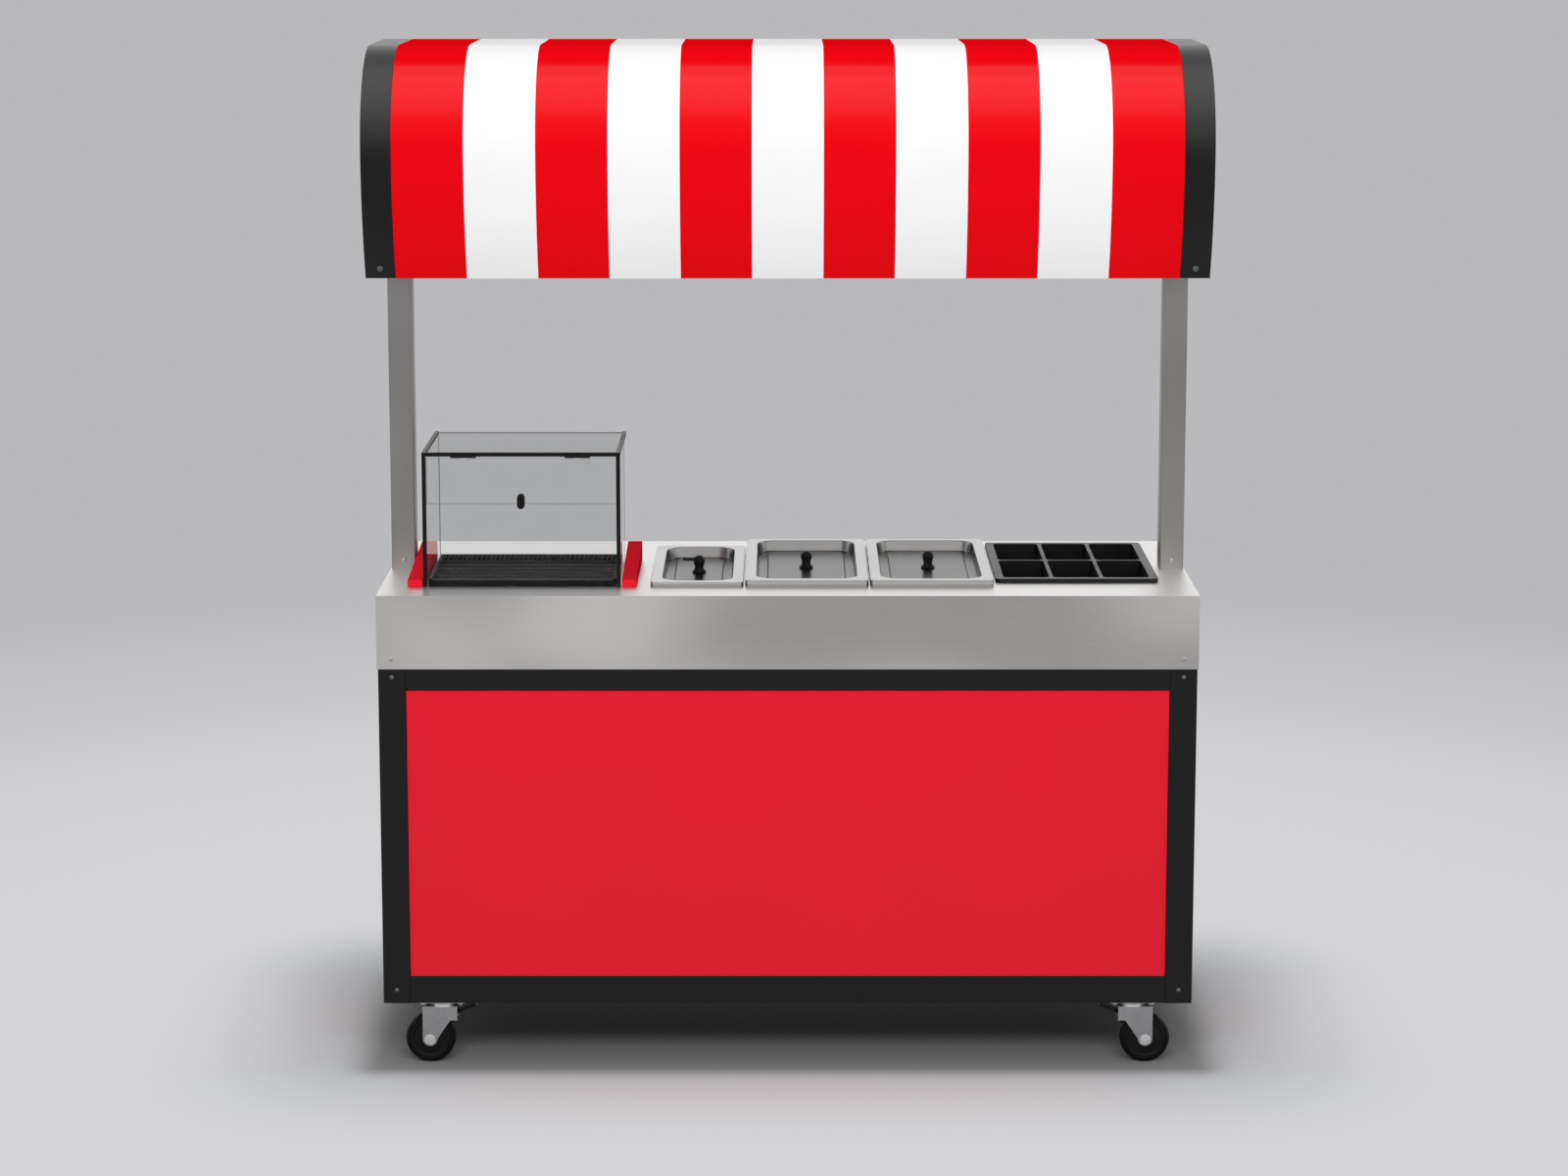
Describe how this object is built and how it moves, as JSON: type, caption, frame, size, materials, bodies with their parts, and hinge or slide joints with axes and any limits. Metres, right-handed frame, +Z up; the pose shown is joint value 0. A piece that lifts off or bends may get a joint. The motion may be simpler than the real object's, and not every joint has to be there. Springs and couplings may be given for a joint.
{
  "type": "hot dog cart",
  "caption": "Wheeled street food cart: steel counter with lidded warming pans, condiment tray and glass bun case over a cabinet, under a striped vaulted canopy.",
  "frame": {"origin": "on the floor, under the middle of the cart's box", "axes": "+Z up, +X to the right as the customer sees it, the customer's side faces -Y"},
  "size_m": [1.674, 0.7, 2.0673],
  "materials": {
    "stainless": "brushed",
    "frame_paint": "matte powder coat",
    "red_paint": "satin",
    "red_sheet": "gloss",
    "white_sheet": "gloss",
    "black_trim": "satin",
    "black_tray": "satin",
    "black_metal": "satin",
    "glass": "clear",
    "zinc": "zinc plated",
    "steel": "plain",
    "alloy": "mill",
    "tyre": "matte",
    "brass": "satin",
    "lamp": "gloss"
  },
  "bodies": {
    "cart": {"corner_posts": "frame_paint", "frame_rails": "frame_paint", "counter_rails": "frame_paint", "frame_struts": "frame_paint", "front_panel": "red_paint", "end_panels": "red_paint", "panel_stops": "frame_paint", "cabinet_floor": "stainless", "door_hardware": "stainless", "counter_top": "stainless", "water_tank": "stainless", "heating_element": "steel", "drain_valve": "brass", "control_panel": "black_trim", "pilot_lamp": "lamp", "power_inlet": "black_trim", "case_cheeks": "red_sheet", "crumb_tray": "black_metal", "wire_rack": "black_metal", "case_frame": "black_metal", "case_panes": "glass", "canopy_posts": "stainless", "canopy_brackets": "steel", "canopy_purlins": "alloy", "canopy_hoops": "alloy", "canopy_red_panels": "red_sheet", "canopy_white_panels": "white_sheet", "canopy_ends": "black_tray", "caster_plates": "zinc", "caster_bolts": "zinc", "panel_screws": "steel"},
    "flap": {"flap_pane": "glass", "flap_fittings": "black_metal"},
    "condiments": {"condiment_tray": "black_tray"},
    "door_left": {"left_door": "red_paint", "left_door_fittings": "stainless"},
    "door_right": {"right_door": "red_paint", "right_door_fittings": "stainless"},
    "pan_left": {"left_pan": "stainless"},
    "lid_left": {"left_lid": "stainless", "left_lid_knob": "black_trim"},
    "pan_middle": {"middle_pan": "stainless"},
    "lid_middle": {"middle_lid": "stainless", "middle_lid_knob": "black_trim"},
    "pan_right": {"right_pan": "stainless"},
    "lid_right": {"right_lid": "stainless", "right_lid_knob": "black_trim"},
    "valve_lever": {"drain_lever": "stainless"},
    "thermostat": {"thermostat_knob": "black_trim"},
    "rocker": {"power_switch": "black_trim"},
    "caster_front_left": {"caster_fork_front_left": "zinc"},
    "wheel_front_left": {"caster_wheel_front_left": "tyre"},
    "pedal_front_left": {"brake_pedal_front_left": "black_metal"},
    "caster_front_right": {"caster_fork_front_right": "zinc"},
    "wheel_front_right": {"caster_wheel_front_right": "tyre"},
    "pedal_front_right": {"brake_pedal_front_right": "black_metal"},
    "caster_rear_left": {"caster_fork_rear_left": "zinc"},
    "wheel_rear_left": {"caster_wheel_rear_left": "tyre"},
    "caster_rear_right": {"caster_fork_rear_right": "zinc"},
    "wheel_rear_right": {"caster_wheel_rear_right": "tyre"}
  },
  "joints": [
    {"name": "case_flap", "type": "hinge", "parent": "cart", "child": "flap", "pos_m": [-0.538, -0.2311, 1.2478], "axis": [-1, 0, 0], "range_deg": [0, 100]},
    {"name": "condiment_tray_lift", "type": "slide", "parent": "cart", "child": "condiments", "axis": [0, 0, 1], "range_m": [0, 0.25]},
    {"name": "door_left_swing", "type": "hinge", "parent": "cart", "child": "door_left", "pos_m": [-0.7665, 0.3273, 0.4878], "axis": [0, 0, 1], "range_deg": [0, 110]},
    {"name": "door_right_swing", "type": "hinge", "parent": "cart", "child": "door_right", "pos_m": [0.7665, 0.3273, 0.4878], "axis": [0, 0, -1], "range_deg": [0, 110]},
    {"name": "pan_left_lift", "type": "slide", "parent": "cart", "child": "pan_left", "axis": [0, 0, 1], "range_m": [0, 0.25]},
    {"name": "lid_left_lift", "type": "slide", "parent": "pan_left", "child": "lid_left", "axis": [0, 0, 1], "range_m": [0, 0.25]},
    {"name": "pan_middle_lift", "type": "slide", "parent": "cart", "child": "pan_middle", "axis": [0, 0, 1], "range_m": [0, 0.25]},
    {"name": "lid_middle_lift", "type": "slide", "parent": "pan_middle", "child": "lid_middle", "axis": [0, 0, 1], "range_m": [0, 0.25]},
    {"name": "pan_right_lift", "type": "slide", "parent": "cart", "child": "pan_right", "axis": [0, 0, 1], "range_m": [0, 0.25]},
    {"name": "lid_right_lift", "type": "slide", "parent": "pan_right", "child": "lid_right", "axis": [0, 0, 1], "range_m": [0, 0.25]},
    {"name": "drain_lever_turn", "type": "hinge", "parent": "cart", "child": "valve_lever", "pos_m": [-0.2315, 0.2448, 0.58], "axis": [0, 1, 0], "range_deg": [0, 90]},
    {"name": "thermostat_dial", "type": "hinge", "parent": "cart", "child": "thermostat", "pos_m": [0.494, 0.325, 0.8943], "axis": [0, 1, 0], "range_deg": [0, 270]},
    {"name": "switch_rocker", "type": "hinge", "parent": "cart", "child": "rocker", "pos_m": [0.576, 0.325, 0.8943], "axis": [1, 0, 0], "range_deg": [0, 20]},
    {"name": "swivel_front_left", "type": "hinge", "parent": "cart", "child": "caster_front_left", "pos_m": [-0.705, -0.273, 0.116], "axis": [0, 0, 1], "continuous": true},
    {"name": "wheel_front_left_roll", "type": "hinge", "parent": "caster_front_left", "child": "wheel_front_left", "pos_m": [-0.732, -0.273, 0.051], "axis": [0, 1, 0], "continuous": true},
    {"name": "pedal_front_left", "type": "hinge", "parent": "caster_front_left", "child": "pedal_front_left", "pos_m": [-0.684, -0.273, 0.099], "axis": [0, 1, 0], "range_deg": [0, 40]},
    {"name": "swivel_front_right", "type": "hinge", "parent": "cart", "child": "caster_front_right", "pos_m": [0.705, -0.273, 0.116], "axis": [0, 0, 1], "continuous": true},
    {"name": "wheel_front_right_roll", "type": "hinge", "parent": "caster_front_right", "child": "wheel_front_right", "pos_m": [0.732, -0.273, 0.051], "axis": [0, 1, 0], "continuous": true},
    {"name": "pedal_front_right", "type": "hinge", "parent": "caster_front_right", "child": "pedal_front_right", "pos_m": [0.684, -0.273, 0.099], "axis": [0, -1, 0], "range_deg": [0, 40]},
    {"name": "swivel_rear_left", "type": "hinge", "parent": "cart", "child": "caster_rear_left", "pos_m": [-0.705, 0.273, 0.116], "axis": [0, 0, 1], "continuous": true},
    {"name": "wheel_rear_left_roll", "type": "hinge", "parent": "caster_rear_left", "child": "wheel_rear_left", "pos_m": [-0.732, 0.273, 0.051], "axis": [0, 1, 0], "continuous": true},
    {"name": "swivel_rear_right", "type": "hinge", "parent": "cart", "child": "caster_rear_right", "pos_m": [0.705, 0.273, 0.116], "axis": [0, 0, 1], "continuous": true},
    {"name": "wheel_rear_right_roll", "type": "hinge", "parent": "caster_rear_right", "child": "wheel_rear_right", "pos_m": [0.732, 0.273, 0.051], "axis": [0, 1, 0], "continuous": true}
  ]
}
